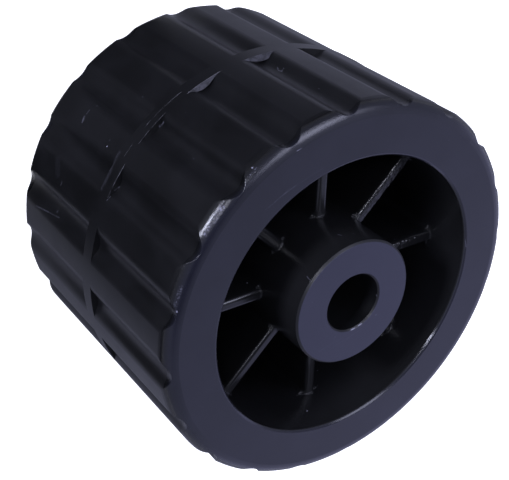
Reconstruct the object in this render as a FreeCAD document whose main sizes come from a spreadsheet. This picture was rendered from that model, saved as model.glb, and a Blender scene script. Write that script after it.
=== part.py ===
"""Double side roller: one moulded piece that turns on a plain bore.

The roller is a thick rim, a web at its middle, a hub with a plain bore, and
radial ribs that stand on both sides of the web, a step below the rim's ends.
Round-bottomed flutes run along the rim from each end and stop at a plain band
around its middle. Both ends are alike.

Frame: +Z is the bore's axis, the origin is on that axis at mid length, and a
rib lies along +X. All sizes are in millimetres and degrees.
"""
import FreeCAD, Part
import math
import os

import Sketcher

SIZES = [
    # name, value, what it is
    ("crest_radius", 60.0, "rim's outer radius, over the crests between flutes"),
    ("rim_length", 90.0, "rim, from end face to end face"),
    ("edge_rounding", 3.6, "rounding of the rim's outer end edges, next to the crests"),
    ("easing_radius", 4.4, "softer rounding that leads from the end face into it"),
    ("easing_turn", 45.0, "how far the softer rounding turns, degrees"),
    ("wall_radius", 44.0, "recess wall"),
    ("mouth_bevel", 0.6, "bevel of the recess mouth"),
    ("hub_radius", 19.75, "hub"),
    ("hub_proud", 2.0, "how far each hub face stands out of the rim's end face"),
    ("hub_bevel", 0.6, "bevel of the hub's end edges"),
    ("bore_radius", 9.0, "plain bore for the axle"),
    ("bore_bevel", 0.5, "bevel of the bore's edges"),
    ("web_thickness", 6.0, "web at mid length"),
    ("rib_count", 8, "ribs on each side of the web"),
    ("rib_thickness", 3.8, "rib"),
    ("rib_setback", 15.0, "free edge of the ribs below the rim's end face"),
    ("rib_rounding", 1.3, "rounding along the free edge of a rib"),
    ("rib_fillet", 2.2, "upright fillets where a rib meets hub and recess wall"),
    ("flute_count", 20, "flutes around the rim"),
    ("flute_depth", 2.1, "flute below the crests"),
    ("flute_radius", 5.0, "round bottom of a flute"),
    ("shoulder_radius", 4.3, "rounded shoulders between flute and crest"),
    ("flute_lead", 4.2, "angle from a rib to the next crest, degrees"),
    ("band_width", 4.8, "plain band around the rim at mid length"),
]

SHEET = "Sizes"
ORIGIN_POINT = (-1, 1)
AXIS_ACROSS = -1
START, END, CENTRE = range(1, 4)
HUB_MIDDLE = "(Sizes.bore_radius + Sizes.hub_radius) / 2"
RIM_MIDDLE = "(Sizes.wall_radius + Sizes.crest_radius - Sizes.flute_depth) / 2"


def fill_sheet(doc):
    """Writes the driving sizes into the sheet, one row each, and returns them by name."""
    sheet = doc.addObject("Spreadsheet::Sheet", SHEET)
    for row, (name, value, meaning) in enumerate(SIZES, start=1):
        sheet.set("A%d" % row, meaning)
        sheet.set("B%d" % row, str(value))
        sheet.setAlias("B%d" % row, name)
    doc.recompute()
    return {name: float(sheet.get(name)) for name, _, _ in SIZES}


def origin_plane(body, role):
    """Finds one of the body's own origin planes or axes by its role."""
    return next(item for item in body.Origin.OriginFeatures if item.Role == role)


def new_sketch(body, name, plane):
    """Starts a sketch on one of the body's origin planes."""
    sketch = body.newObject("Sketcher::SketchObject", name)
    sketch.AttachmentSupport = [(origin_plane(body, plane), "")]
    sketch.MapMode = "FlatFace"
    return sketch


def turned_by(angle):
    """A turn about a sketch's own normal, in degrees."""
    return FreeCAD.Placement(vector(0, 0), FreeCAD.Rotation(FreeCAD.Vector(0, 0, 1), angle))


def bind(sketch, expression, *args):
    """Adds a constraint whose value follows an expression in the sheet's sizes."""
    index = sketch.addConstraint(Sketcher.Constraint(*args))
    sketch.setExpression("Constraints[%d]" % index, expression)


def vector(across, up):
    """A point of a sketch."""
    return FreeCAD.Vector(across, up, 0)


def line(sketch, start, end):
    """Adds a straight edge and returns its index."""
    return sketch.addGeometry(Part.LineSegment(vector(*start), vector(*end)), False)


def arc(sketch, centre, radius, first, last):
    """Adds an arc, counter-clockwise between two angles in degrees, and returns its index."""
    circle = Part.Circle(vector(*centre), FreeCAD.Vector(0, 0, 1), radius)
    turn = Part.ArcOfCircle(circle, math.radians(first), math.radians(last))
    return sketch.addGeometry(turn, False)


def smooth(sketch, first, first_end, second, second_end):
    """Joins two edges end to end with a common tangent."""
    sketch.addConstraint(Sketcher.Constraint("Tangent", first, first_end, second, second_end))


def meet(sketch, first, first_end, second, second_end):
    """Joins two edges end to end at a corner."""
    sketch.addConstraint(Sketcher.Constraint("Coincident", first, first_end, second, second_end))


def bevel(sketch, name, before, before_end, after, after_end, span):
    """Joins two edges by a bevel at 45 degrees with equal legs of a named size."""
    edge = line(sketch, *span)
    meet(sketch, before, before_end, edge, START)
    meet(sketch, edge, END, after, after_end)
    (x_start, y_start), (x_end, y_end) = span
    for kind, first, last in (("DistanceX", x_start, x_end), ("DistanceY", y_start, y_end)):
        ends = (edge, START, edge, END) if last > first else (edge, END, edge, START)
        bind(sketch, "Sizes." + name, kind, *ends, abs(last - first))


def draw_half_section(body, size):
    """The upper half of the turned section: bore, hub, web, recess and rim."""
    sketch = new_sketch(body, "half_section", "XZ_Plane")
    end = size["rim_length"] / 2
    top = end + size["hub_proud"]
    floor = size["web_thickness"] / 2
    bore = size["bore_radius"]
    hub = size["hub_radius"]
    wall = size["wall_radius"]
    crest = size["crest_radius"]
    bore_edge = size["bore_bevel"]
    hub_edge = size["hub_bevel"]
    mouth = size["mouth_bevel"]
    edge = size["edge_rounding"]
    soft = size["easing_radius"]
    turned = 90 - size["easing_turn"]
    across = math.cos(math.radians(turned))
    up = math.sin(math.radians(turned))
    face_end = crest - edge - (soft - edge) * across
    edge_centre = (crest - edge, end - soft + (soft - edge) * up)

    bore_line = line(sketch, (bore, 0), (bore, top - bore_edge))
    hub_face = line(sketch, (bore + bore_edge, top), (hub - hub_edge, top))
    hub_side = line(sketch, (hub, top - hub_edge), (hub, floor))
    floor_line = line(sketch, (hub, floor), (wall, floor))
    wall_line = line(sketch, (wall, floor), (wall, end - mouth))
    rim_face = line(sketch, (wall + mouth, end), (face_end, end))
    easing = arc(sketch, (face_end, end - soft), soft, turned, 90)
    rim_edge = arc(sketch, edge_centre, edge, 0, turned)
    crest_line = line(sketch, (crest, edge_centre[1]), (crest, 0))
    middle = line(sketch, (crest, 0), (bore, 0))

    bevel(sketch, "bore_bevel", bore_line, END, hub_face, START,
          ((bore, top - bore_edge), (bore + bore_edge, top)))
    bevel(sketch, "hub_bevel", hub_face, END, hub_side, START,
          ((hub - hub_edge, top), (hub, top - hub_edge)))
    bevel(sketch, "mouth_bevel", wall_line, END, rim_face, START,
          ((wall, end - mouth), (wall + mouth, end)))
    meet(sketch, hub_side, END, floor_line, START)
    meet(sketch, floor_line, END, wall_line, START)
    smooth(sketch, rim_face, END, easing, END)
    smooth(sketch, easing, START, rim_edge, END)
    smooth(sketch, rim_edge, START, crest_line, START)
    meet(sketch, crest_line, END, middle, START)
    meet(sketch, middle, END, bore_line, START)
    for level in (hub_face, floor_line, rim_face):
        sketch.addConstraint(Sketcher.Constraint("Horizontal", level))
    for upright in (bore_line, hub_side, wall_line, crest_line):
        sketch.addConstraint(Sketcher.Constraint("Vertical", upright))
    for point in (START, END):
        sketch.addConstraint(Sketcher.Constraint("PointOnObject", middle, point, AXIS_ACROSS))

    bind(sketch, "Sizes.bore_radius", "DistanceX", *ORIGIN_POINT, bore_line, START, bore)
    bind(sketch, "Sizes.hub_radius", "DistanceX", *ORIGIN_POINT, hub_side, START, hub)
    bind(sketch, "Sizes.wall_radius", "DistanceX", *ORIGIN_POINT, wall_line, END, wall)
    bind(sketch, "Sizes.crest_radius", "DistanceX", *ORIGIN_POINT, crest_line, START, crest)
    bind(sketch, "Sizes.web_thickness / 2", "DistanceY", *ORIGIN_POINT, floor_line, START, floor)
    bind(sketch, "Sizes.rim_length / 2", "DistanceY", *ORIGIN_POINT, rim_face, START, end)
    bind(sketch, "Sizes.rim_length / 2 + Sizes.hub_proud",
         "DistanceY", *ORIGIN_POINT, hub_face, START, top)
    bind(sketch, "Sizes.easing_radius", "Radius", easing, soft)
    bind(sketch, "Sizes.edge_rounding", "Radius", rim_edge, edge)
    bind(sketch, "Sizes.crest_radius - Sizes.edge_rounding"
         " - (Sizes.easing_radius - Sizes.edge_rounding) * sin(Sizes.easing_turn * 1 deg)",
         "DistanceX", *ORIGIN_POINT, rim_face, END, face_end)
    return sketch


def turn_blank(body, size):
    """Turns the half section about the axis and mirrors it: the roller without flutes or ribs."""
    section = draw_half_section(body, size)
    upper = body.newObject("PartDesign::Revolution", "upper_half")
    upper.Profile = section
    upper.ReferenceAxis = (origin_plane(body, "Z_Axis"), [""])
    upper.Angle = 360
    lower = body.newObject("PartDesign::Mirrored", "lower_half")
    lower.Originals = [upper]
    lower.MirrorPlane = (origin_plane(body, "XY_Plane"), [""])
    body.Tip = lower


def draw_flute(body, size):
    """One flute's outline across the rim: round bottom, rounded shoulders, open outwards."""
    sketch = new_sketch(body, "flute_outline", "XY_Plane")
    sketch.AttachmentOffset = turned_by(size["flute_lead"] + 180 / size["flute_count"])
    sketch.setExpression("AttachmentOffset.Base.z", "Sizes.band_width / 2")
    sketch.setExpression("AttachmentOffset.Rotation.Angle",
                         "(Sizes.flute_lead + 180 / Sizes.flute_count) * 1 deg")
    crest = size["crest_radius"]
    bottom = size["flute_radius"]
    shoulder = size["shoulder_radius"]
    outer = crest + bottom
    bottom_centre = crest - size["flute_depth"] + bottom
    shoulder_centre = crest - shoulder
    reach = bottom + shoulder
    cosine = (bottom_centre ** 2 + shoulder_centre ** 2 - reach ** 2)
    cosine /= 2 * bottom_centre * shoulder_centre
    side = math.degrees(math.acos(cosine))
    side_x = shoulder_centre * math.cos(math.radians(side))
    side_y = shoulder_centre * math.sin(math.radians(side))
    flank = math.degrees(math.atan2(side_y, bottom_centre - side_x))
    tip = (math.cos(math.radians(side)), math.sin(math.radians(side)))

    floor_arc = arc(sketch, (bottom_centre, 0), bottom, 180 - flank, 180 + flank)
    left_arc = arc(sketch, (side_x, side_y), shoulder, -flank, side)
    right_arc = arc(sketch, (side_x, -side_y), shoulder, -side, flank)
    left_line = line(sketch, (crest * tip[0], crest * tip[1]), (outer * tip[0], outer * tip[1]))
    outer_line = line(sketch, (outer * tip[0], outer * tip[1]), (outer * tip[0], -outer * tip[1]))
    right_line = line(sketch, (outer * tip[0], -outer * tip[1]), (crest * tip[0], -crest * tip[1]))

    smooth(sketch, floor_arc, START, left_arc, START)
    smooth(sketch, floor_arc, END, right_arc, END)
    meet(sketch, left_arc, END, left_line, START)
    meet(sketch, left_line, END, outer_line, START)
    meet(sketch, outer_line, END, right_line, START)
    meet(sketch, right_line, END, right_arc, START)
    for spoke in (left_line, right_line):
        sketch.addConstraint(Sketcher.Constraint("PointOnObject", *ORIGIN_POINT, spoke))
    for spoke, turn in ((left_line, left_arc), (right_line, right_arc)):
        sketch.addConstraint(Sketcher.Constraint("PointOnObject", turn, CENTRE, spoke))
    sketch.addConstraint(Sketcher.Constraint("PointOnObject", floor_arc, CENTRE, AXIS_ACROSS))
    sketch.addConstraint(Sketcher.Constraint("Vertical", outer_line))
    bind(sketch, "Sizes.flute_radius", "Radius", floor_arc, bottom)
    bind(sketch, "Sizes.shoulder_radius", "Radius", left_arc, shoulder)
    bind(sketch, "Sizes.shoulder_radius", "Radius", right_arc, shoulder)
    bind(sketch, "Sizes.crest_radius - Sizes.flute_depth + Sizes.flute_radius",
         "DistanceX", *ORIGIN_POINT, floor_arc, CENTRE, bottom_centre)
    for turn in (left_arc, right_arc):
        bind(sketch, "Sizes.crest_radius - Sizes.shoulder_radius",
             "Distance", *ORIGIN_POINT, turn, CENTRE, shoulder_centre)
    bind(sketch, "Sizes.crest_radius + Sizes.flute_radius",
         "Distance", *ORIGIN_POINT, outer_line, START, outer)
    return sketch


def cut_flutes(body, size):
    """Cuts the flutes from the band to the upper end, mirrored below and repeated around."""
    flute = body.newObject("PartDesign::Pocket", "flute")
    flute.Profile = draw_flute(body, size)
    flute.Reversed = True
    flute.setExpression("Length", "Sizes.rim_length / 2")
    flutes = body.newObject("PartDesign::MultiTransform", "flutes")
    flutes.Originals = [flute]
    around = body.newObject("PartDesign::PolarPattern", "flutes_around")
    around.Axis = (origin_plane(body, "Z_Axis"), [""])
    around.Angle = 360
    around.setExpression("Occurrences", "Sizes.flute_count")
    below = body.newObject("PartDesign::Mirrored", "flutes_below")
    below.MirrorPlane = (origin_plane(body, "XY_Plane"), [""])
    flutes.Transformations = [around, below]
    body.Tip = flutes


def draw_rib(body, size):
    """A rib's section across its length, through the web, with rounded free edges."""
    sketch = new_sketch(body, "rib_section", "YZ_Plane")
    sketch.setExpression("AttachmentOffset.Base.z", HUB_MIDDLE)
    edge = size["rib_rounding"]
    top = size["rim_length"] / 2 - size["rib_setback"]
    half = size["rib_thickness"] / 2

    right_side = line(sketch, (half, edge - top), (half, top - edge))
    right_turn = arc(sketch, (half - edge, top - edge), edge, 0, 90)
    upper_edge = line(sketch, (half - edge, top), (edge - half, top))
    left_turn = arc(sketch, (edge - half, top - edge), edge, 90, 180)
    left_side = line(sketch, (-half, top - edge), (-half, edge - top))
    left_foot = arc(sketch, (edge - half, edge - top), edge, 180, 270)
    lower_edge = line(sketch, (edge - half, -top), (half - edge, -top))
    right_foot = arc(sketch, (half - edge, edge - top), edge, 270, 360)

    smooth(sketch, right_side, END, right_turn, START)
    smooth(sketch, right_turn, END, upper_edge, START)
    smooth(sketch, upper_edge, END, left_turn, START)
    smooth(sketch, left_turn, END, left_side, START)
    smooth(sketch, left_side, END, left_foot, START)
    smooth(sketch, left_foot, END, lower_edge, START)
    smooth(sketch, lower_edge, END, right_foot, START)
    smooth(sketch, right_foot, END, right_side, START)
    for level in (upper_edge, lower_edge):
        sketch.addConstraint(Sketcher.Constraint("Horizontal", level))
    for upright in (right_side, left_side):
        sketch.addConstraint(Sketcher.Constraint("Vertical", upright))

    for turn in (right_turn, left_turn, left_foot, right_foot):
        bind(sketch, "Sizes.rib_rounding", "Radius", turn, edge)
    bind(sketch, "Sizes.rim_length / 2 - Sizes.rib_setback",
         "DistanceY", *ORIGIN_POINT, upper_edge, START, top)
    bind(sketch, "Sizes.rim_length / 2 - Sizes.rib_setback",
         "DistanceY", lower_edge, START, *ORIGIN_POINT, top)
    bind(sketch, "Sizes.rib_thickness / 2", "DistanceX", *ORIGIN_POINT, right_side, START, half)
    bind(sketch, "Sizes.rib_thickness / 2", "DistanceX", left_side, START, *ORIGIN_POINT, half)
    return sketch


def draw_rib_end(sketch, size, joined, ring, ring_name, root_radius, root_expression):
    """One end of a rib in plan: two fillets that run from its sides into hub or recess wall.

    joined is 1 where the ring's material lies outside the fillets, as at the recess
    wall, and -1 where it lies inside them, as at the hub.
    """
    half = size["rib_thickness"] / 2
    fillet = size["rib_fillet"]
    reach = ring - joined * fillet
    centre = (math.sqrt(reach ** 2 - (half + fillet) ** 2), half + fillet)
    touch = (centre[0] * ring / reach, centre[1] * ring / reach)
    root = (touch[0] * root_radius / ring, touch[1] * root_radius / ring)
    lean = math.degrees(math.atan2(centre[1], centre[0]))

    def mirrored(point):
        return (point[0], -point[1])

    if joined > 0:
        left = arc(sketch, centre, fillet, -90, lean)
        right = arc(sketch, mirrored(centre), fillet, -lean, 90)
        left_side, left_touch, right_side, right_touch = START, END, END, START
    else:
        left = arc(sketch, centre, fillet, 180 + lean, 270)
        right = arc(sketch, mirrored(centre), fillet, 90, 180 - lean)
        left_side, left_touch, right_side, right_touch = END, START, START, END
    neck = line(sketch, (centre[0], -half), (centre[0], half))
    left_root = line(sketch, touch, root)
    back = line(sketch, root, mirrored(root))
    right_root = line(sketch, mirrored(root), mirrored(touch))

    sketch.addConstraint(Sketcher.Constraint("Perpendicular", neck, END, left, left_side))
    meet(sketch, left, left_touch, left_root, START)
    meet(sketch, left_root, END, back, START)
    meet(sketch, back, END, right_root, START)
    meet(sketch, right_root, END, right, right_touch)
    meet(sketch, right, right_side, neck, START)
    for upright in (neck, back):
        sketch.addConstraint(Sketcher.Constraint("Vertical", upright))
    for turn, spoke in ((left, left_root), (right, right_root)):
        bind(sketch, "Sizes.rib_fillet", "Radius", turn, fillet)
        sketch.addConstraint(Sketcher.Constraint("PointOnObject", *ORIGIN_POINT, spoke))
        sketch.addConstraint(Sketcher.Constraint("PointOnObject", turn, CENTRE, spoke))
        bind(sketch, "Sizes.%s %s Sizes.rib_fillet" % (ring_name, "-" if joined > 0 else "+"),
             "Distance", *ORIGIN_POINT, turn, CENTRE, reach)
    bind(sketch, "Sizes.rib_thickness / 2 + Sizes.rib_fillet",
         "DistanceY", *ORIGIN_POINT, left, CENTRE, half + fillet)
    bind(sketch, "Sizes.rib_thickness / 2 + Sizes.rib_fillet",
         "DistanceY", right, CENTRE, *ORIGIN_POINT, half + fillet)
    bind(sketch, root_expression, "Distance", *ORIGIN_POINT, left_root, END, root_radius)


def draw_rib_fillets(body, size):
    """The upright fillets at both ends of a rib, seen along the bore."""
    sketch = new_sketch(body, "rib_fillet_plan", "XY_Plane")
    hub_middle = (size["bore_radius"] + size["hub_radius"]) / 2
    rim_middle = (size["wall_radius"] + size["crest_radius"] - size["flute_depth"]) / 2
    draw_rib_end(sketch, size, -1, size["hub_radius"], "hub_radius", hub_middle, HUB_MIDDLE)
    draw_rib_end(sketch, size, 1, size["wall_radius"], "wall_radius", rim_middle, RIM_MIDDLE)
    return sketch


def add_ribs(body, size):
    """Runs a rib from the hub into the rim, fillets its ends and repeats it around the bore."""
    rib = body.newObject("PartDesign::Pad", "rib")
    rib.Profile = draw_rib(body, size)
    rib.setExpression("Length", RIM_MIDDLE + " - " + HUB_MIDDLE)
    fillets = body.newObject("PartDesign::Pad", "rib_fillets")
    fillets.Profile = draw_rib_fillets(body, size)
    fillets.SideType = "Symmetric"
    fillets.setExpression("Length", "Sizes.rim_length - 2 * Sizes.rib_setback"
                          " - 2 * Sizes.rib_rounding")
    ribs = body.newObject("PartDesign::PolarPattern", "ribs")
    ribs.Originals = [rib, fillets]
    ribs.Axis = (origin_plane(body, "Z_Axis"), [""])
    ribs.Angle = 360
    ribs.setExpression("Occurrences", "Sizes.rib_count")
    body.Tip = ribs


def check(doc):
    """Stops if any object of the document failed or a piece has no sound shape."""
    for item in doc.Objects:
        if "Invalid" in item.State or "Error" in item.State:
            raise RuntimeError("%s failed: %s" % (item.Label, item.getStatusString()))
        if item.TypeId == "Sketcher::SketchObject" and not item.FullyConstrained:
            raise RuntimeError("%s is not fully constrained" % item.Label)


def build_roller(doc, size):
    """The roller as one body: turned blank, flutes, ribs."""
    body = doc.addObject("PartDesign::Body", "roller")
    body.Label = "roller"
    turn_blank(body, size)
    doc.recompute()
    blank = body.Shape.Volume
    cut_flutes(body, size)
    doc.recompute()
    fluted = body.Shape.Volume
    if not fluted < blank:
        raise RuntimeError("the flutes cut nothing")
    add_ribs(body, size)
    doc.recompute()
    if not body.Shape.Volume > fluted:
        raise RuntimeError("the ribs added nothing")
    body.Placement = FreeCAD.Placement()
    return body


def main():
    """Builds the document and writes each piece."""
    doc = FreeCAD.newDocument("double_side_roller")
    size = fill_sheet(doc)
    pieces = [build_roller(doc, size)]
    doc.recompute()
    check(doc)
    os.makedirs("parts", exist_ok=True)
    for piece in pieces:
        shape = piece.Shape
        if shape.isNull() or not shape.isValid() or len(shape.Solids) != 1:
            raise RuntimeError("%s has no sound solid" % piece.Label)
        shape.exportStep("parts/%s.step" % piece.Label)
        print(piece.Label, "volume %.0f" % shape.Volume, "faces", len(shape.Faces))


main()
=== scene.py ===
"""Dresses the double side roller: moulded finish, mould flash, studio and camera.

The frame is the roller's own: metres, +Z along the bore, origin at mid length, a
rib along +X. The roller's reach and height are read from the frame's box, and all
other sizes are fields of the classes below. A field whose name ends in noise holds
a noise texture's grains per metre, finer layers and their strength. One that ends
in ramp holds where a value's stretch begins and ends, and what it becomes there.
"""
import logging
import math
from dataclasses import dataclass, field
from enum import Enum

import bpy
from mathutils import Matrix, Vector


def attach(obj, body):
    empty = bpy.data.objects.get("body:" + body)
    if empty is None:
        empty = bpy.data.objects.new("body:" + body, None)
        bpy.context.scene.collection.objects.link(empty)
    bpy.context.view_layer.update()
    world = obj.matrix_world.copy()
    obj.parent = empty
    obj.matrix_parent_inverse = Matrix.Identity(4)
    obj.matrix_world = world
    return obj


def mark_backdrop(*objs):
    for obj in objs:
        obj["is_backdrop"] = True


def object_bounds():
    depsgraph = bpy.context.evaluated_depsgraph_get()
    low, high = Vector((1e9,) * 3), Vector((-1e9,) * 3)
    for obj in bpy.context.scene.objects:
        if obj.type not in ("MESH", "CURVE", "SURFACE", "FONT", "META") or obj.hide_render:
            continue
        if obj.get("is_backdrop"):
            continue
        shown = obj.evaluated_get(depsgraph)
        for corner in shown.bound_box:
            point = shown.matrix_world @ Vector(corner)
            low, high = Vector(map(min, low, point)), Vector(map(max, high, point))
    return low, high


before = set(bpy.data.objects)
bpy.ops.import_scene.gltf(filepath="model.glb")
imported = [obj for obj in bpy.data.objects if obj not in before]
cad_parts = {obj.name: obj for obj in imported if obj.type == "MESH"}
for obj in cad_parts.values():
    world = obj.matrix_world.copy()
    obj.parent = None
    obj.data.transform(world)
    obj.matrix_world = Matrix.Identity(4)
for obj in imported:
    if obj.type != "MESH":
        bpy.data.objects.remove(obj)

MM = 0.001
BODY = "root"

log = logging.getLogger("side_roller")


class Axis(Enum):
    """The frame's axes, for nodes that read one of them."""

    X = 0
    Y = 1
    Z = 2


class Blend(Enum):
    """How numbers are joined."""

    ADD = "ADD"
    SUBTRACT = "SUBTRACT"
    MULTIPLY = "MULTIPLY"
    ABOVE = "GREATER_THAN"
    BELOW = "LESS_THAN"
    LARGEST = "MAXIMUM"


class MixOf(Enum):
    """What a Mix node mixes, with the places of its two inputs and its output."""

    FLOAT = (2, 3, 0)
    VECTOR = (4, 5, 1)
    RGBA = (6, 7, 2)


class NodeBoard:
    """A small helper that lays out one shader's nodes and wires them."""

    def __init__(self, tree: bpy.types.NodeTree) -> None:
        """Starts with an empty tree."""
        self.tree = tree
        self.tree.nodes.clear()

    def node(self, kind: str, **settings: object) -> bpy.types.Node:
        """Adds a node and sets its properties.

        Args:
            kind: Blender's name of the node type.
            **settings: properties of the node.

        Returns:
            The new node.
        """
        made = self.tree.nodes.new(kind)
        for name, value in settings.items():
            setattr(made, name, value)
        return made

    def wire(self, source: object, target: bpy.types.NodeSocket) -> None:
        """Links an output to a socket, or writes a plain value into it.

        Args:
            source: a socket, or a value that the target can hold.
            target: the input that takes it.
        """
        if isinstance(source, bpy.types.NodeSocket):
            self.tree.links.new(source, target)
        else:
            target.default_value = source

    def number(self, how: Blend, first: object, *others: object) -> bpy.types.NodeSocket:
        """Joins two or more numbers, one after the other.

        Args:
            how: the operation.
            first: a socket or a plain number.
            *others: the numbers or sockets that it is joined with.

        Returns:
            The result's socket.
        """
        for other in others:
            made = self.node("ShaderNodeMath", operation=how.value)
            self.wire(first, made.inputs[0])
            self.wire(other, made.inputs[1])
            first = made.outputs[0]
        return first

    def ramp(self, value: object, low: float, high: float, start: float = 0.0,
             end: float = 1.0) -> bpy.types.NodeSocket:
        """Maps a stretch of a value to another, smoothly and clamped.

        Args:
            value: the socket that is read.
            low: where the stretch begins.
            high: where it ends.
            start: the result below low.
            end: the result above high.

        Returns:
            The result's socket.
        """
        made = self.node("ShaderNodeMapRange", interpolation_type="SMOOTHSTEP")
        for name, number in (("Value", value), ("From Min", low), ("From Max", high),
                             ("To Min", start), ("To Max", end)):
            self.wire(number, made.inputs[name])
        return made.outputs["Result"]

    def fade_in(self, value: object, size: float, fade: tuple) -> bpy.types.NodeSocket:
        """Goes from 0 to 1 near a size.

        Args:
            value: the socket that is read.
            size: the size that it is held against.
            fade: where the change begins and ends, as distances past the size.

        Returns:
            The mask's socket.
        """
        return self.ramp(value, size + fade[0], size + fade[1])

    def fade_out(self, value: object, size: float, fade: tuple) -> bpy.types.NodeSocket:
        """Goes from 1 to 0 near a size.

        Args:
            value: the socket that is read.
            size: the size that it is held against.
            fade: where the change begins and ends, as distances past the size.

        Returns:
            The mask's socket.
        """
        return self.ramp(value, size + fade[0], size + fade[1], 1.0, 0.0)

    def noise(self, where: object, scale: float, detail: float,
              roughness: float) -> bpy.types.NodeSocket:
        """A soft random value at each point, about 0.5.

        Args:
            where: the coordinates that it reads.
            scale: grains per metre.
            detail: how many finer layers are added.
            roughness: how strong the finer layers are.

        Returns:
            The value's socket.
        """
        made = self.node("ShaderNodeTexNoise")
        for name, value in (("Vector", where), ("Scale", scale), ("Detail", detail),
                            ("Roughness", roughness)):
            self.wire(value, made.inputs[name])
        return made.outputs["Fac"]

    def mix(self, what: MixOf, share: object, plain: object, full: object,
            **settings: object) -> bpy.types.NodeSocket:
        """Mixes two numbers, vectors or colours by a share from 0 to 1.

        Args:
            what: the kind of data.
            share: socket or number that holds the share.
            plain: what it is at 0, or its socket.
            full: what it is at 1, or its socket.
            **settings: more properties of the node.

        Returns:
            The result's socket.
        """
        made = self.node("ShaderNodeMix", data_type=what.name, **settings)
        low, high, result = what.value
        self.wire(share, made.inputs["Factor"])
        self.wire(plain, made.inputs[low])
        self.wire(full, made.inputs[high])
        return made.outputs[result]


@dataclass(frozen=True)
class RollerZones:
    """Where the finish changes, in metres in the roller's own frame.

    A field whose name ends in fade says where a zone's edge begins and ends, as
    two distances past the size that the edge lies at. A skin is the depth in
    which a surface still counts as the same one, and hub_edge is the depth of the
    hub's bevelled edge.
    """

    crest_radius: float
    hub_face: float
    hub_proud: float = 2.0 * MM
    rib_setback: float = 15.0 * MM
    bore_radius: float = 9.4 * MM
    hub_radius: float = 19.75 * MM
    wall_radius: float = 44.0 * MM
    recess_radius: float = 44.3 * MM
    hub_skin: float = 0.1 * MM
    hub_edge: float = 0.7 * MM
    rib_skin: float = 0.3 * MM
    face_level_fade: tuple = (-2.2 * MM, -0.3 * MM)
    face_mouth_fade: tuple = (-0.3 * MM, 0.0)
    rounding_crest_fade: tuple = (-3.8 * MM, -1.4 * MM)
    rounding_level_fade: tuple = (-3.4 * MM, -2.3 * MM)
    rib_hub_fade: tuple = (0.4 * MM, 1.2 * MM)
    rib_wall_fade: tuple = (-1.2 * MM, -0.4 * MM)
    rib_level_fade: tuple = (-1.4 * MM, -0.4 * MM)
    mouth_inner_fade: tuple = (-0.4 * MM, -0.2 * MM)
    mouth_outer_fade: tuple = (0.7 * MM, 1.0 * MM)
    mouth_level_fade: tuple = (-2.0 * MM, -1.6 * MM)
    rib_end_below_fade: tuple = (-2.4 * MM, -1.4 * MM)
    rib_end_above_fade: tuple = (0.6 * MM, 1.4 * MM)
    rib_end_hub_fade: tuple = (1.6 * MM, 2.6 * MM)
    rib_end_wall_fade: tuple = (-2.6 * MM, -1.6 * MM)

    @property
    def end_face(self) -> float:
        """Level of the rim's end faces."""
        return self.hub_face - self.hub_proud

    @property
    def rib_top(self) -> float:
        """Level of the ribs' free edges."""
        return self.end_face - self.rib_setback


@dataclass(frozen=True)
class Mark:
    """A scratch, smear, speck or painted highlight on the surface: a stroke between two points,
    in millimetres.

    Strength is how far it lightens the plastic, and below 0 how far it darkens it.
    """

    start: tuple
    end: tuple
    width: float
    strength: float


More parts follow.
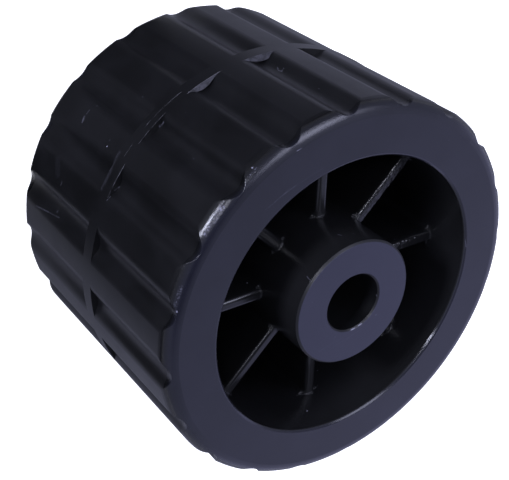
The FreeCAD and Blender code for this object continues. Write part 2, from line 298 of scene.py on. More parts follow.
SCRATCHES = (
    Mark((-3.4, 60.0, -26.2), (-2.0, 60.0, -26.2), 0.22, 0.19),
    Mark((-5.9, 59.7, -25.9), (-4.5, 59.8, -26.3), 0.64, 0.17),
    Mark((0.2, 59.8, -24.6), (0.3, 59.8, -24.5), 0.19, 0.19),
    Mark((-7.0, 59.6, -9.1), (-6.9, 59.6, -9.0), 0.26, 1.21),
    Mark((-5.2, 59.8, -9.6), (-5.1, 59.8, -9.5), 0.21, 0.19),
    Mark((4.7, 57.7, 21.9), (4.8, 57.7, 21.9), 0.20, 0.28),
    Mark((13.4, 58.5, 8.5), (13.5, 58.5, 8.5), 0.20, 0.19),
    Mark((38.0, 43.7, 31.6), (38.1, 43.7, 31.6), 0.22, 0.25),
    Mark((37.0, 45.0, 34.4), (36.8, 45.1, 35.6), 0.51, 0.09),
    Mark((-16.9, 57.6, -2.0), (-11.4, 58.9, -1.9), 1.10, 0.05),
    Mark((-11.0, 59.0, -2.4), (-6.2, 59.7, -2.6), 0.90, 0.04),
    Mark((-18.7, 57.0, 2.4), (-17.1, 56.9, 2.5), 0.14, 0.28),
    Mark((-15.1, 56.9, 2.4), (-13.6, 56.4, 2.4), 0.25, 0.22),
    Mark((6.2, 58.0, 2.4), (7.8, 58.4, 3.3), 0.42, 0.19),
    Mark((39.4, 42.9, 9.1), (38.6, 43.3, 10.7), 0.14, 0.22),
    Mark((38.6, 43.3, 10.7), (38.9, 43.1, 11.8), 0.15, 0.28),
    Mark((38.9, 43.1, 11.8), (40.1, 42.7, 11.2), 0.14, 0.25),
    Mark((-32.0, 48.8, -24.0), (-23.6, 55.2, -22.2), 0.42, 0.08),
    Mark((-41.3, 43.5, -18.9), (-44.4, 37.3, -23.3), 0.28, 0.08),
    Mark((-35.2, 48.5, -34.8), (-33.9, 48.8, -27.7), 0.35, 0.10),
    Mark((-33.9, 48.8, -27.7), (-32.8, 48.8, -21.5), 0.30, 0.07),
    Mark((-19.5, 56.7, -28.5), (-22.6, 55.5, -25.6), 1.90, 0.016),
    Mark((-28.5, 50.5, 44.4), (-28.3, 50.7, 44.2), 0.28, 0.88),
    Mark((11.5, 58.5, 42.8), (11.6, 58.4, 42.8), 0.25, 0.88),
    Mark((10.0, 58.2, 43.6), (9.9, 58.3, 43.6), 0.22, 0.50),
    Mark((5.3, 48.2, 45.0), (10.1, 46.7, 45.0), 0.10, 0.08),
    Mark((10.1, 46.7, 45.0), (14.8, 44.9, 45.0), 0.12, 0.17),
    Mark((14.8, 44.9, 45.0), (22.9, 40.8, 45.0), 0.09, 0.08),
    Mark((6.3, 47.6, 45.0), (13.6, 45.9, 45.0), 0.09, 0.10),
    Mark((21.8, 51.8, 45.0), (22.9, 51.2, 45.0), 0.21, 0.39),
    Mark((12.8, 15.0, 41.1), (15.6, 12.1, 42.0), 0.11, 0.17),
    Mark((12.8, 15.0, 41.1), (12.4, 15.3, 40.2), 0.15, 0.22),
    Mark((-1.9, 19.6, 44.4), (-2.2, 19.5, 46.5), 0.22, 0.28),
    Mark((-17.1, -0.6, 47.0), (-10.0, -5.4, 47.0), 0.09, 0.08),
    Mark((-13.0, -5.1, 47.0), (-4.5, -10.2, 47.0), 0.09, 0.09),
    Mark((1.1, -11.4, 47.0), (1.2, -11.4, 47.0), 0.26, 0.28),
    Mark((-10.9, -2.6, 47.0), (-10.8, -2.6, 47.0), 0.19, 0.19),
    Mark((-12.0, 13.6, 47.0), (-12.1, 12.6, 47.0), 0.14, -0.60),
    Mark((-6.6, -6.6, 46.9), (-5.6, -7.4, 46.9), 0.25, 1.10),
    Mark((-4.4, -8.2, 46.8), (-3.4, -8.7, 46.8), 0.19, 0.77),
    Mark((5.6, -7.1, 46.4), (5.8, -6.9, 46.2), 0.22, 0.50),
    Mark((35.3, -26.8, 44.7), (33.9, -28.9, 45.0), 0.14, 0.28),
    Mark((-35.1, -26.5, 36.8), (-35.0, -26.6, 36.8), 0.26, 1.38),
    Mark((-13.9, 16.6, 25.0), (-13.8, 16.7, 25.1), 0.25, 1.10),
)


# Painted highlights: lighter strokes on the rim's end rounding and on the hub's side near its
# face, where the lamps' highlights fall; fine noise breaks them into sparkle.
PAINTED_HIGHLIGHTS = (
    Mark((-8.6, 57.9, 43.2), (-0.6, 58.6, 43.2), 1.05, 1.20),
    Mark((-27.4, 51.6, 43.6), (-22.6, 53.9, 43.6), 0.8, 0.30),
    Mark((8.6, 57.9, 43.2), (11.8, 57.6, 43.2), 0.8, 0.35),
    Mark((26.5, 51.3, 43.9), (36.0, 45.2, 43.9), 0.9, 0.20),
    Mark((-20.0, 5.4, 44.6), (-19.2, 4.2, 46.2), 0.6, 0.25),
)


@dataclass(frozen=True)
class MouldedPlastic:
    """Satin black moulded plastic, dull on the end faces, glossier and rippled in the recess,
    with painted highlights on its roundings, painted light near the recess's mouth and a partly
    painted bluish sheen on its faces.
    """

    zones: RollerZones
    name: str = "black_plastic"
    body_dark: tuple = (0.0016, 0.0017, 0.0018, 1.0)
    body_light: tuple = (0.0030, 0.0031, 0.0036, 1.0)
    # A faint dusty haze on the end faces and the turned hub face, tinted blue as a painted bluish
    # sheen.
    face_dust_and_sheen: tuple = (0.0046, 0.0049, 0.0098, 1.0)
    hub_dust_and_sheen: tuple = (0.0150, 0.0155, 0.0290, 1.0)
    # Painted light inside the recess: a lighter colour at the mouth that fades to the bare dark
    # plastic deeper in, as painted shade.
    recess_painted_light: tuple = (0.0066, 0.0066, 0.0068, 1.0)
    # Lighter colour of the scratches and specks, and of the painted highlights.
    scuff_and_glint: tuple = (0.20, 0.20, 0.25, 1.0)
    clean: tuple = (0.0, 0.0, 0.0, 1.0)
    gloss: float = 0.42
    ior: float = 1.49
    tread_rough_ramp: tuple = (0.3, 0.7, 0.37, 0.43)
    face_rough: float = 0.38
    recess_rough: float = 0.26
    rounding_rough: float = 0.18
    rib_rough: float = 0.19
    mouth_rough: float = 0.14
    edge_radius: float = 0.35 * MM
    mouth_radius: float = 0.80 * MM
    rib_end_radius: float = 1.30 * MM
    edge_samples: int = 4
    mark_core: float = 0.25
    mottle_noise: tuple = (55.0, 4.0, 0.6)
    body_ramp: tuple = (0.35, 0.65)
    haze_ramp: tuple = (0.2, 0.8, 0.75, 1.0)
    crumb_noise: tuple = (1500.0, 2.0, 0.7)
    crumb_ramp: tuple = (0.35, 0.60, 0.35, 1.25)
    # Fine noise that breaks the painted highlights into sparkle.
    glint_sparkle_noise: tuple = (2100.0, 1.0, 0.5)
    glint_sparkle_ramp: tuple = (0.50, 0.66, 0.10, 1.2)
    speck_scale: float = 170.0
    speck_ramp: tuple = (0.015, 0.045, 0.16, 0.0)
    speck_rarity: float = 0.72
    ring_scale: float = 2600.0
    ring_noise: tuple = (1.0, 3.0, 0.6)
    ring_ramp: tuple = (0.3, 0.7, 0.82, 1.08)
    grain_noise: tuple = (3200.0, 2.0, 0.7)
    grain_depth: float = 0.16 * MM
    grain_strength: float = 0.04
    rounding_grain: float = 0.22
    ripple_noise: tuple = (330.0, 2.0, 0.5)
    ripple_depth: float = 0.10 * MM
    ripple_strength: float = 0.30
    dimple_noise: tuple = (900.0, 1.0, 0.4)
    dimple_depth: float = 0.22 * MM
    dimple_from_x: float = 12.0 * MM
    dimple_to_y: float = 6.0 * MM
    # Where the recess's painted light fades out, as distances past the end face.
    painted_light_depth_fade: tuple = (-34.0 * MM, 0.0)

    def mark(self, board: NodeBoard, place: object, mark: Mark) -> bpy.types.NodeSocket:
        """Finds how much of one mark lies at a point.

        Args:
            board: the shader's nodes.
            place: the coordinates.
            mark: the stroke.

        Returns:
            Socket with the mark's strength inside the stroke and 0 outside.
        """
        start, end = Vector(mark.start) * MM, Vector(mark.end) * MM
        along = end - start
        offset = board.node("ShaderNodeVectorMath", operation="SUBTRACT")
        board.wire(place, offset.inputs[0])
        offset.inputs[1].default_value = start
        share = board.node("ShaderNodeVectorMath", operation="DOT_PRODUCT")
        board.wire(offset.outputs[0], share.inputs[0])
        share.inputs[1].default_value = along / along.length_squared
        held = board.node("ShaderNodeClamp")
        board.wire(share.outputs["Value"], held.inputs["Value"])
        nearest = board.node("ShaderNodeVectorMath", operation="SCALE")
        nearest.inputs[0].default_value = along
        board.wire(held.outputs[0], nearest.inputs["Scale"])
        gap = board.node("ShaderNodeVectorMath", operation="DISTANCE")
        board.wire(offset.outputs[0], gap.inputs[0])
        board.wire(nearest.outputs[0], gap.inputs[1])
        return board.ramp(gap.outputs["Value"], mark.width * self.mark_core * MM,
                          mark.width * MM, mark.strength, 0.0)

    def zone(self, board: NodeBoard, radius: object, level: object) -> dict:
        """Finds the masks of the roller's zones.

        Args:
            board: the shader's nodes.
            radius: distance from the roller's axis.
            level: distance from its middle plane.

        Returns:
            Sockets by zone: face, hub, recess, rounding, rib_top, mouth, rib_end.
        """
        zones = self.zones
        face = board.number(
            Blend.MULTIPLY,
            board.fade_in(level, zones.end_face, zones.face_level_fade),
            board.fade_in(radius, zones.recess_radius, zones.face_mouth_fade))
        hub = board.number(
            Blend.MULTIPLY,
            board.number(Blend.ABOVE, level, zones.hub_face - zones.hub_skin),
            board.number(Blend.BELOW, radius, zones.hub_radius))
        recess = board.number(
            Blend.MULTIPLY,
            board.number(Blend.BELOW, radius, zones.recess_radius),
            board.number(Blend.ABOVE, radius, zones.bore_radius),
            board.number(Blend.BELOW, level, zones.hub_face - zones.hub_edge))
        rounding = board.number(
            Blend.MULTIPLY,
            board.fade_in(radius, zones.crest_radius, zones.rounding_crest_fade),
            board.fade_in(level, zones.end_face, zones.rounding_level_fade))
        rib_top = board.number(
            Blend.MULTIPLY,
            board.fade_in(radius, zones.hub_radius, zones.rib_hub_fade),
            board.fade_out(radius, zones.wall_radius, zones.rib_wall_fade),
            board.fade_in(level, zones.rib_top, zones.rib_level_fade),
            board.number(Blend.BELOW, level, zones.rib_top + zones.rib_skin))
        mouth = board.number(
            Blend.MULTIPLY,
            board.fade_in(radius, zones.wall_radius, zones.mouth_inner_fade),
            board.fade_out(radius, zones.wall_radius, zones.mouth_outer_fade),
            board.fade_in(level, zones.end_face, zones.mouth_level_fade))
        rib_end = board.number(
            Blend.MULTIPLY,
            board.fade_in(level, zones.rib_top, zones.rib_end_below_fade),
            board.fade_out(level, zones.rib_top, zones.rib_end_above_fade),
            board.number(
                Blend.LARGEST,
                board.fade_out(radius, zones.hub_radius, zones.rib_end_hub_fade),
                board.fade_in(radius, zones.wall_radius, zones.rib_end_wall_fade)))
        return {"face": face, "hub": hub, "recess": recess, "rounding": rounding,
                "rib_top": rib_top, "mouth": mouth, "rib_end": rib_end}

    def wear_and_glints(self, board: NodeBoard, place: object) -> bpy.types.NodeSocket:
        """Gathers the scratches, the painted highlight strokes sparkled by fine noise, and a
        scatter of fine specks.

        Args:
            board: the shader's nodes.
            place: the coordinates.

        Returns:
            Socket with the amount of scuffed plastic and of painted highlight.
        """
        # Scratches, and painted highlight strokes on the roundings.
        scratched, painted_glints = (
            board.number(Blend.ADD, *(self.mark(board, place, mark) for mark in marks))
            for marks in (SCRATCHES, PAINTED_HIGHLIGHTS))
        crumbs = board.ramp(board.noise(place, *self.crumb_noise), *self.crumb_ramp)
        glint_sparkle = board.ramp(board.noise(place, *self.glint_sparkle_noise), *self.glint_sparkle_ramp)
        cells = board.node("ShaderNodeTexVoronoi")
        cells.inputs["Scale"].default_value = self.speck_scale
        board.wire(place, cells.inputs["Vector"])
        chance = board.node("ShaderNodeSeparateXYZ")
        board.wire(cells.outputs["Color"], chance.inputs[0])
        specks = board.number(
            Blend.MULTIPLY,
            board.ramp(cells.outputs["Distance"], *self.speck_ramp),
            board.number(Blend.ABOVE, chance.outputs[0], self.speck_rarity))
        return board.number(
            Blend.ADD,
            board.number(Blend.MULTIPLY, scratched, crumbs),
            board.number(Blend.MULTIPLY, painted_glints, glint_sparkle),
            specks)

    def relief(self, board: NodeBoard, place: object, parts: bpy.types.Node,
               zone: dict) -> bpy.types.NodeSocket:
        """Rounds the sharp edges a little and adds grain, ripple and dimples.

        Args:
            board: the shader's nodes.
            place: the coordinates.
            parts: node that gives them one by one.
            zone: sockets of the zones' masks, by name.

        Returns:
            The normal's socket.
        """
        soft_edge = board.node("ShaderNodeBevel", samples=self.edge_samples)
        edge_radius = board.number(
            Blend.ADD,
            board.number(Blend.MULTIPLY, zone["mouth"], self.mouth_radius - self.edge_radius),
            board.number(Blend.MULTIPLY, zone["rib_end"], self.rib_end_radius - self.edge_radius),
            self.edge_radius)
        board.wire(edge_radius, soft_edge.inputs["Radius"])
        plain = board.node("ShaderNodeNewGeometry")
        inside = board.number(Blend.SUBTRACT, zone["recess"], zone["rib_top"])
        softened = board.number(
            Blend.LARGEST, zone["mouth"], zone["rounding"], inside, zone["rib_end"])
        normal = board.mix(
            MixOf.VECTOR, softened, plain.outputs["Normal"], soft_edge.outputs["Normal"])
        grain = board.number(
            Blend.ADD, board.number(Blend.MULTIPLY, zone["rounding"], self.rounding_grain),
            self.grain_strength)
        ripple = board.number(
            Blend.MULTIPLY, board.number(Blend.SUBTRACT, inside, zone["mouth"]),
            self.ripple_strength)
        dimples = board.number(
            Blend.MULTIPLY, zone["rib_top"],
            board.number(Blend.ABOVE, parts.outputs[Axis.X.value], self.dimple_from_x),
            board.number(Blend.BELOW, parts.outputs[Axis.Y.value], self.dimple_to_y))
        steps = (
            (self.grain_noise, self.grain_depth, grain),
            (self.ripple_noise, self.ripple_depth, ripple),
            (self.dimple_noise, self.dimple_depth, dimples),
        )
        for texture, depth, strength in steps:
            bump = board.node("ShaderNodeBump")
            bump.inputs["Distance"].default_value = depth
            board.wire(strength, bump.inputs["Strength"])
            board.wire(board.noise(place, *texture), bump.inputs["Height"])
            board.wire(normal, bump.inputs["Normal"])
            normal = bump.outputs["Normal"]
        return normal

    def make(self) -> bpy.types.Material:
        """Builds the material.

        Returns:
            The finished material.
        """
        material = bpy.data.materials.new(self.name + "_finish")
        material.use_nodes = True
        board = NodeBoard(material.node_tree)
        place = board.node("ShaderNodeTexCoord").outputs["Object"]
        parts = board.node("ShaderNodeSeparateXYZ")
        board.wire(place, parts.inputs[0])
        squares = [board.number(Blend.MULTIPLY, parts.outputs[axis.value],
                                parts.outputs[axis.value]) for axis in (Axis.X, Axis.Y)]
        reach = board.node("ShaderNodeMath", operation="SQRT")
        board.wire(board.number(Blend.ADD, *squares), reach.inputs[0])
        radius = reach.outputs[0]
        height = board.node("ShaderNodeMath", operation="ABSOLUTE")
        board.wire(parts.outputs[Axis.Z.value], height.inputs[0])
        level = height.outputs[0]
        zone = self.zone(board, radius, level)
        flat = board.number(Blend.LARGEST, zone["face"], zone["hub"])

        mottle = board.noise(place, *self.mottle_noise)
        colour = board.mix(MixOf.RGBA, board.ramp(mottle, *self.body_ramp),
                           self.body_dark, self.body_light)
        haze = board.ramp(mottle, *self.haze_ramp)
        turning = board.ramp(board.noise(self.rings(board, radius), *self.ring_noise),
                             *self.ring_ramp)
        for share, layer_tint in (
                # Dusty haze on the faces with a painted bluish sheen.
                (board.number(Blend.MULTIPLY, zone["face"], haze), self.face_dust_and_sheen),
                (board.number(Blend.MULTIPLY, zone["hub"], turning), self.hub_dust_and_sheen),
                # Painted light in the recess, strongest at the mouth and gone 34 mm below the end
                # face.
                (board.number(Blend.MULTIPLY, zone["recess"], board.fade_in(
                    level, self.zones.end_face, self.painted_light_depth_fade)), self.recess_painted_light),
                # Scratches, specks and painted highlights.
                (self.wear_and_glints(board, place), self.scuff_and_glint)):
            layer = board.mix(MixOf.RGBA, share, self.clean, layer_tint)
            colour = board.mix(MixOf.RGBA, 1.0, colour, layer, blend_type="ADD")

        rough = board.ramp(mottle, *self.tread_rough_ramp)
        for share, value in (
                (zone["recess"], self.recess_rough), (zone["rib_top"], self.rib_rough),
                (flat, self.face_rough), (zone["rounding"], self.rounding_rough),
                (zone["mouth"], self.mouth_rough)):
            rough = board.mix(MixOf.FLOAT, share, rough, value)

        shader = board.node("ShaderNodeBsdfPrincipled")
        shader.inputs["IOR"].default_value = self.ior
        shader.inputs["Specular IOR Level"].default_value = self.gloss
        board.wire(colour, shader.inputs["Base Color"])
        board.wire(rough, shader.inputs["Roughness"])
        board.wire(self.relief(board, place, parts, zone), shader.inputs["Normal"])
        out = board.node("ShaderNodeOutputMaterial")
        board.wire(shader.outputs["BSDF"], out.inputs["Surface"])
        return material

    def rings(self, board: NodeBoard, radius: object) -> bpy.types.NodeSocket:
        """Gives coordinates that change with the radius alone, for fine turned arcs.

        Args:
            board: the shader's nodes.
            radius: distance from the roller's axis.

        Returns:
            The coordinates' socket.
        """
        made = board.node("ShaderNodeCombineXYZ")
        board.wire(board.number(Blend.MULTIPLY, radius, self.ring_scale), made.inputs[0])
        return made.outputs[0]


@dataclass(frozen=True)
class PaleFlashAndLight:
    """Thin mould flash: the same plastic, torn and lighter, its lighter colour partly painted
    light: a painted highlight along the flash lines and painted light on the flaps over the lit
    flute ends.
    """

    name: str = "pale_flash_and_highlight"
    dark: tuple = (0.010, 0.010, 0.012, 1.0)
    light: tuple = (0.070, 0.070, 0.080, 1.0)
    roughness: float = 0.34
    gloss: float = 0.50
    tear_noise: tuple = (700.0, 3.0, 0.65)
    colour_ramp: tuple = (0.38, 0.62)
    rough_ramp: tuple = (0.3, 0.7)
    rough_change: float = 0.06

    def make(self) -> bpy.types.Material:
        """Builds the material.

        Returns:
            The finished material.
        """
        material = bpy.data.materials.new(self.name)
        material.use_nodes = True
        board = NodeBoard(material.node_tree)
        place = board.node("ShaderNodeTexCoord").outputs["Object"]
        torn = board.noise(place, *self.tear_noise)
        shader = board.node("ShaderNodeBsdfPrincipled")
        board.wire(board.mix(MixOf.RGBA, board.ramp(torn, *self.colour_ramp),
                             self.dark, self.light), shader.inputs["Base Color"])
        board.wire(board.ramp(torn, *self.rough_ramp, self.roughness - self.rough_change,
                              self.roughness + self.rough_change), shader.inputs["Roughness"])
        shader.inputs["Specular IOR Level"].default_value = self.gloss
        out = board.node("ShaderNodeOutputMaterial")
        board.wire(shader.outputs["BSDF"], out.inputs["Surface"])
        return material


@dataclass(frozen=True)
class Ridge:
    """A thin raised line of flash that follows the rim.

    Height above the middle plane, width and rise are in millimetres, and start and
    end are degrees from +X.
    """

    name: str
    height: float
    start: float
    end: float
    width: float
    rise: float


@dataclass(frozen=True)
class Flap:
    """A torn flap of flash that hangs over the end of one flute.

    Start and end are degrees from +X. Drop is how far its free edge hangs inwards
    and reach how far it lies out over the flute, both in millimetres. Lean moves
    its fullest place towards the end where it is above 1, and else to the start.
    """

    name: str
    start: float
    end: float
    drop: float
    reach: float
    lean: float


@dataclass
class MouldFlash:
    """What the mould left round the middle of the tread.

    Hinge and flap_tip are shares: of the crest's radius, past which a flap stays
    where it is, and of a flap's full depth, to which it narrows at its ends.
    """

    crest: float
    band_edge: float = 2.4 * MM
    ridge_sides: int = 6
    ridge_fineness: float = 1.5
    flap_steps: int = 16
    flap_thickness: float = 0.12 * MM
    flap_tip: float = 0.03
    hinge: float = 0.9985
    same_angle: float = 0.001
    doubles: float = 0.002 * MM
    crease: float = math.radians(50.0)
    ridges: tuple = (
        Ridge("edge_flash_1", 2.40, 86.2, 91.0, 0.07, 0.08),
        Ridge("edge_flash_2", 2.40, 97.0, 104.6, 0.09, 0.09),
        Ridge("edge_flash_3", 2.40, 61.0, 73.0, 0.05, 0.06),
        Ridge("edge_flash_4", 2.40, 43.4, 55.2, 0.04, 0.05),
        Ridge("edge_flash_5", 2.40, 79.8, 85.8, 0.05, 0.05),
        Ridge("edge_flash_6", 2.40, 104.9, 107.6, 0.05, 0.05),
        Ridge("parting_line_1", 0.05, 72.8, 79.2, 0.045, 0.05),
        Ridge("parting_line_2", -0.10, 79.4, 82.9, 0.04, 0.04),
        Ridge("parting_line_3", -0.10, 84.0, 86.6, 0.04, 0.04),
        Ridge("parting_line_4", 0.20, 91.6, 96.2, 0.04, 0.04),
    )
    flaps: tuple = (
        Flap("torn_flap_1", 61.8, 72.4, 1.35, 1.05, 1.3),
        Flap("torn_flap_2", 44.0, 54.6, 1.45, 1.20, 0.75),
    )
    # The flash lines' lighter colour is partly a painted edge highlight.
    line_finish: PaleFlashAndLight = field(default_factory=PaleFlashAndLight)
    # The flaps' lighter colour is painted light on the lit flute ends.
    flap_finish: PaleFlashAndLight = field(default_factory=lambda: PaleFlashAndLight(
        name="torn_flash_painted_light", dark=(0.008, 0.008, 0.010, 1.0), light=(0.034, 0.034, 0.042, 1.0),
        roughness=0.50, gloss=0.26))

    def ridge(self, shape: Ridge) -> bpy.types.Object:
        """Models one ridge: a small ring, spun about the axis and drawn to a point at each end.

        Args:
            shape: its place and size.

        Returns:
            The ridge's object.
        """
        bpy.ops.object.select_all(action="DESELECT")
        bpy.ops.mesh.primitive_circle_add(
            vertices=self.ridge_sides, radius=shape.width * MM, fill_type="NOTHING",
            location=(self.crest, 0.0, shape.height * MM), rotation=(math.pi / 2, 0.0, 0.0))
        piece = bpy.context.object
        piece.name = shape.name
        bpy.ops.object.transform_apply(location=True, rotation=True, scale=True)
        turn = math.radians(shape.end - shape.start)
        steps = max(self.ridge_sides, round((shape.end - shape.start) * self.ridge_fineness))
        bpy.ops.object.mode_set(mode="EDIT")
        bpy.ops.mesh.select_all(action="SELECT")
        bpy.ops.transform.resize(value=(shape.rise / shape.width, 1.0, 1.0),
                                 center_override=(self.crest, 0.0, shape.height * MM))
        bpy.ops.mesh.spin(steps=steps, angle=-turn, center=(0.0, 0.0, 0.0), axis=(0.0, 0.0, 1.0))
        for angle in (0.0, turn):
            self.select_ring(piece, angle)
            bpy.ops.mesh.merge(type="CENTER")
        self.close(piece)
        return self.turned(piece, shape.start)

    def flap(self, shape: Flap) -> bpy.types.Object:
        """Models one flap: a sloping edge, spun about the axis, narrowed to a lens, thickened.

        Args:
            shape: its place and size.

        Returns:
            The flap's object.
        """
        bpy.ops.object.select_all(action="DESELECT")
        slope = math.atan2(shape.drop, shape.reach)
        length = math.hypot(shape.drop, shape.reach) * MM
        bpy.ops.mesh.primitive_plane_add(
            size=length, rotation=(0.0, -(slope + math.pi / 2), 0.0),
            location=(self.crest - shape.drop * MM / 2, 0.0,
                      self.band_edge + shape.reach * MM / 2))
        piece = bpy.context.object
        piece.name = shape.name
        bpy.ops.object.transform_apply(location=True, rotation=True, scale=True)
        bpy.ops.object.mode_set(mode="EDIT")
        bpy.ops.mesh.select_all(action="DESELECT")
        bpy.ops.object.mode_set(mode="OBJECT")
        for corner in piece.data.vertices:
            corner.select = corner.co.y < 0
        bpy.ops.object.mode_set(mode="EDIT")
        bpy.ops.mesh.delete(type="VERT")
        bpy.ops.mesh.select_all(action="SELECT")
        bpy.ops.transform.translate(value=(0.0, -length / 2, 0.0))
        turn = math.radians(shape.end - shape.start)
        bpy.ops.mesh.spin(steps=self.flap_steps, angle=-turn, center=(0.0, 0.0, 0.0),
                          axis=(0.0, 0.0, 1.0))
        for step in range(self.flap_steps + 1):
            share = step / self.flap_steps
            fullness = math.sin(math.pi * share ** shape.lean)
            angle = turn * share
            self.select_ring(piece, angle, below=self.crest * self.hinge)
            bpy.ops.transform.resize(
                value=(max(fullness, self.flap_tip),) * 3,
                center_override=(self.crest * math.cos(angle), self.crest * math.sin(angle),
                                 self.band_edge))
        self.close(piece)
        thick = piece.modifiers.new("thickness", "SOLIDIFY")
        thick.thickness = self.flap_thickness
        bpy.ops.object.modifier_apply(modifier=thick.name)
        bpy.ops.object.shade_smooth_by_angle(angle=self.crease)
        return self.turned(piece, shape.start)

    def select_ring(self, piece: bpy.types.Object, angle: float,
                    below: float = math.inf) -> None:
        """Selects the vertices at one angle about the axis and nearer to it than a radius.

        Args:
            piece: the object in edit mode.
            angle: the angle in radians.
            below: the radius in metres.
        """
        bpy.ops.mesh.select_all(action="DESELECT")
        bpy.ops.object.mode_set(mode="OBJECT")
        for corner in piece.data.vertices:
            place = corner.co
            corner.select = (abs(math.atan2(place.y, place.x) - angle) < self.same_angle
                             and math.hypot(place.x, place.y) < below)
        bpy.ops.object.mode_set(mode="EDIT")

    def close(self, piece: bpy.types.Object) -> None:
        """Merges doubles, points the faces outwards and smooths the piece.

        Args:
            piece: the object in edit mode, which is left in object mode.
        """
        bpy.ops.mesh.select_all(action="SELECT")
        bpy.ops.mesh.remove_doubles(threshold=self.doubles)
        bpy.ops.mesh.normals_make_consistent(inside=False)
        bpy.ops.object.mode_set(mode="OBJECT")
        bpy.ops.object.shade_smooth_by_angle(angle=self.crease)

    def turned(self, piece: bpy.types.Object, start: float) -> bpy.types.Object:
        """Turns a piece to where it starts and leaves its object untransformed.

        Args:
            piece: the object.
            start: the angle in degrees from +X.

        Returns:
            The same object.
        """
        piece.rotation_euler = (0.0, 0.0, math.radians(start))
        bpy.ops.object.transform_apply(location=True, rotation=True, scale=True)
        return piece

    def build(self) -> list:
        """Models all the flash.

        Returns:
            The pieces.
        """
        made = [(self.ridge(shape), self.line_finish) for shape in self.ridges]
        made += [(self.flap(shape), self.flap_finish) for shape in self.flaps]
        finishes = {finish.name: finish.make() for _, finish in made}
        for piece, finish in made:
            piece.data.materials.append(finishes[finish.name])
            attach(piece, BODY)
            log.info("%s: %d faces", piece.name, len(piece.data.polygons))
        return [piece for piece, _ in made]


@dataclass
class Roller:
    """The moulded roller itself, as the frame gives it."""

    finish: MouldedPlastic
    node: str = "roller"

    def dress(self) -> bpy.types.Object:
        """Gives the frame's mesh its finish.

        Returns:
            The roller's object.
        """
        piece = bpy.data.objects[self.node]
        material = self.finish.make()
        for holder in piece.material_slots:
            holder.material = material
        log.info("%s dressed in %s", piece.name, material.name)
        return piece


@dataclass(frozen=True)
class Card:
    """A card on the floor, from its low to its high corner in metres, for reflections alone."""

    name: str
    low: tuple
    high: tuple
    grey: float
    blue: float = 1.04

    def lay(self, level: float) -> bpy.types.Object:
        """Lays the card.

        Args:
            level: height of the card in metres.

        Returns:
            The card's object.
        """
        middle = [(a + b) / 2 for a, b in zip(self.low, self.high)]
        bpy.ops.mesh.primitive_plane_add(size=1.0, location=(middle[0], middle[1], level))
        card = bpy.context.object
        card.name = self.name
        card.scale = (self.high[0] - self.low[0], self.high[1] - self.low[1], 1.0)
        cloth = bpy.data.materials.new(self.name + "_cloth")
        cloth.use_nodes = True
        board = NodeBoard(cloth.node_tree)
        matt = board.node("ShaderNodeBsdfDiffuse")
        matt.inputs["Color"].default_value = (
            self.grey, self.grey, self.grey * self.blue, 1.0)
        out = board.node("ShaderNodeOutputMaterial")
        board.wire(matt.outputs[0], out.inputs["Surface"])
        card.data.materials.append(cloth)
        # Seen only in reflections and casting no light or shadow: a painted dark or light
        # reflection on the plastic.
        card.visible_camera = False
        card.visible_diffuse = False
        card.visible_shadow = False
        return card


@dataclass(frozen=True)
class Lamp:
    """A square lamp that faces the roller.

    Distance and size are in metres, and glow is how bright its face looks.
    """

    name: str
    towards: tuple
    distance: float
    size: float
    glow: float
    colour: tuple

    def hang(self) -> None:
        """Hangs the lamp; its power follows from its size and the glow of its face."""
        data = bpy.data.lights.new(self.name, "AREA")
        data.size = self.size
        data.energy = self.glow * math.pi * self.size ** 2
        data.color = self.colour
        lamp = bpy.data.objects.new(self.name, data)
        bpy.context.scene.collection.objects.link(lamp)
        away = Vector(self.towards).normalized()
        lamp.location = away * self.distance
        lamp.rotation_mode = "QUATERNION"
        lamp.rotation_quaternion = away.to_track_quat("Z", "Y")
        log.info("lamp %s hung", self.name)


CARDS = (
    Card("dark_card", (-1.2, 0.050), (-0.024, 0.30), 0.035),
    Card("dim_card", (0.008, 0.050), (1.2, 0.30), 0.075),
    Card("light_strip", (-0.024, 0.050), (0.008, 0.30), 0.13),
    Card("far_card", (-1.2, 0.30), (1.2, 1.4), 0.15),
    Card("left_card", (-1.2, -1.2), (0.0, 0.0495), 0.44),
    Card("right_card", (0.0, -1.2), (1.2, 0.0495), 0.38),
)

LAMPS = (
    Lamp("window_lamp", (0.514, 0.139, 0.840), 1.0, 0.50, 6.8, (0.74, 0.76, 1.0)),
    Lamp("left_lamp", (-0.205, 0.950, 0.230), 1.0, 0.17, 88.0, (0.76, 0.79, 1.0)),
    Lamp("front_lamp", (0.0, 0.72, 0.69), 0.9, 0.40, 0.6, (0.95, 0.96, 1.0)),
    Lamp("flash_lamp", (0.02, 0.707, 0.707), 0.8, 0.09, 48.0, (0.82, 0.84, 1.0)),
)


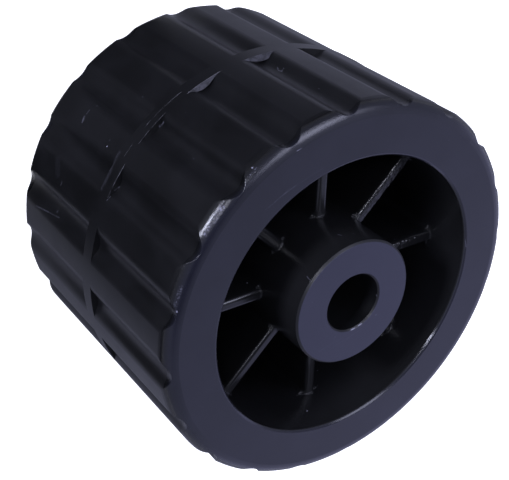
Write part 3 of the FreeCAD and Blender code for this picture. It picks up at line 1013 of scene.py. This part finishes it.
@dataclass
class Studio:
    """A pale floor with cards on it, soft even light, the lamps and the camera.

    Low is the lowest corner of the roller's box. The camera's fields come from a
    fit of its place and lens to the photograph.
    """

    low: Vector
    lens: float = 76.28
    sensor: float = 36.0
    camera_place: tuple = (1.686 * MM, 238.51 * MM, 238.79 * MM)
    camera_right: tuple = (0.60639, -0.56862, 0.55585)
    camera_up: tuple = (0.79503, 0.42053, -0.43713)
    high_sky: tuple = (0.425, 0.445, 0.620, 1.0)
    low_sky: tuple = (0.75, 0.765, 1.24, 1.0)
    sky_ramp: tuple = (-0.82, -0.64)
    patch_sky: tuple = (0.05, 0.05, 0.07, 1.0)
    patch_towards: tuple = (-0.24, -0.03, 0.97)
    patch_ramp: tuple = (0.90, 0.97)
    white: tuple = (1.0, 1.0, 1.0, 1.0)
    floor_colour: tuple = (0.8, 0.8, 0.8, 1.0)
    floor_glow: float = 0.9
    floor_size: float = 8.0
    floor_gap: float = 0.3 * MM
    card_gap: float = 0.1 * MM

    def lay_floor(self) -> None:
        """Lays the pale floor under the roller and the cards that its sides reflect."""
        bpy.ops.mesh.primitive_plane_add(
            size=self.floor_size, location=(0.0, 0.0, self.low.z - self.floor_gap))
        floor = bpy.context.object
        floor.name = "floor"
        material = bpy.data.materials.new("pale_floor")
        material.use_nodes = True
        board = NodeBoard(material.node_tree)
        path = board.node("ShaderNodeLightPath")
        seen = board.number(
            Blend.LARGEST, path.outputs["Is Camera Ray"], path.outputs["Is Glossy Ray"],
            path.outputs["Is Transmission Ray"])
        matt = board.node("ShaderNodeBsdfDiffuse")
        matt.inputs["Color"].default_value = self.floor_colour
        glow = board.node("ShaderNodeEmission")
        board.wire(board.number(Blend.MULTIPLY, seen, self.floor_glow), glow.inputs["Strength"])
        both = board.node("ShaderNodeAddShader")
        board.wire(matt.outputs[0], both.inputs[0])
        board.wire(glow.outputs[0], both.inputs[1])
        out = board.node("ShaderNodeOutputMaterial")
        board.wire(both.outputs[0], out.inputs["Surface"])
        floor.data.materials.append(material)
        cards = [card.lay(self.low.z - self.card_gap) for card in CARDS]
        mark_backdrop(floor, *cards)
        log.info("floor and cards laid")

    def light_sky(self) -> None:
        """Lights the sky softly, stronger from -Y, with one dark patch; the camera sees white."""
        world = bpy.data.worlds.new("soft_room")
        bpy.context.scene.world = world
        world.use_nodes = True
        board = NodeBoard(world.node_tree)
        parts = board.node("ShaderNodeSeparateXYZ")
        way = board.node("ShaderNodeTexCoord").outputs["Generated"]
        board.wire(way, parts.inputs[0])
        light = board.node("ShaderNodeBackground")
        even = board.mix(MixOf.RGBA, board.ramp(parts.outputs[Axis.Y.value], *self.sky_ramp),
                         self.low_sky, self.high_sky)
        near = board.node("ShaderNodeVectorMath", operation="DOT_PRODUCT")
        board.wire(way, near.inputs[0])
        near.inputs[1].default_value = Vector(self.patch_towards).normalized()
        sky = board.mix(MixOf.RGBA, board.ramp(near.outputs["Value"], *self.patch_ramp), even,
                        self.patch_sky)
        path = board.node("ShaderNodeLightPath")
        board.wire(board.mix(MixOf.RGBA, path.outputs["Is Camera Ray"], sky, self.white),
                   light.inputs["Color"])
        out = board.node("ShaderNodeOutputWorld")
        board.wire(light.outputs[0], out.inputs["Surface"])
        log.info("sky lit")

    def hang_lamps(self) -> None:
        """Hangs the lamps."""
        for lamp in LAMPS:
            lamp.hang()

    def set_camera(self) -> None:
        """Sets the camera where the photo was taken from."""
        data = bpy.data.cameras.new("camera")
        data.lens = self.lens
        data.sensor_width = self.sensor
        data.sensor_fit = "HORIZONTAL"
        camera = bpy.data.objects.new("camera", data)
        bpy.context.scene.collection.objects.link(camera)
        right = Vector(self.camera_right).normalized()
        up = Vector(self.camera_up)
        up = (up - right * up.dot(right)).normalized()
        back = right.cross(up)
        turn = Matrix((right, up, back)).transposed().to_4x4()
        camera.matrix_world = Matrix.Translation(Vector(self.camera_place)) @ turn
        bpy.context.scene.camera = camera
        log.info("camera set")


def main() -> None:
    """Dresses the roller, models the flash and builds the studio."""
    logging.basicConfig(level=logging.INFO, format="%(name)s: %(message)s")
    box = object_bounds()
    bpy.ops.object.select_all(action="DESELECT")
    zones = RollerZones(crest_radius=box[1].x, hub_face=box[1].z)
    Roller(MouldedPlastic(zones)).dress()
    MouldFlash(crest=zones.crest_radius).build()
    studio = Studio(low=box[0])
    studio.lay_floor()
    studio.light_sky()
    studio.hang_lamps()
    studio.set_camera()
    bpy.context.scene.view_settings.view_transform = "Standard"


if __name__ == "__main__":
    main()
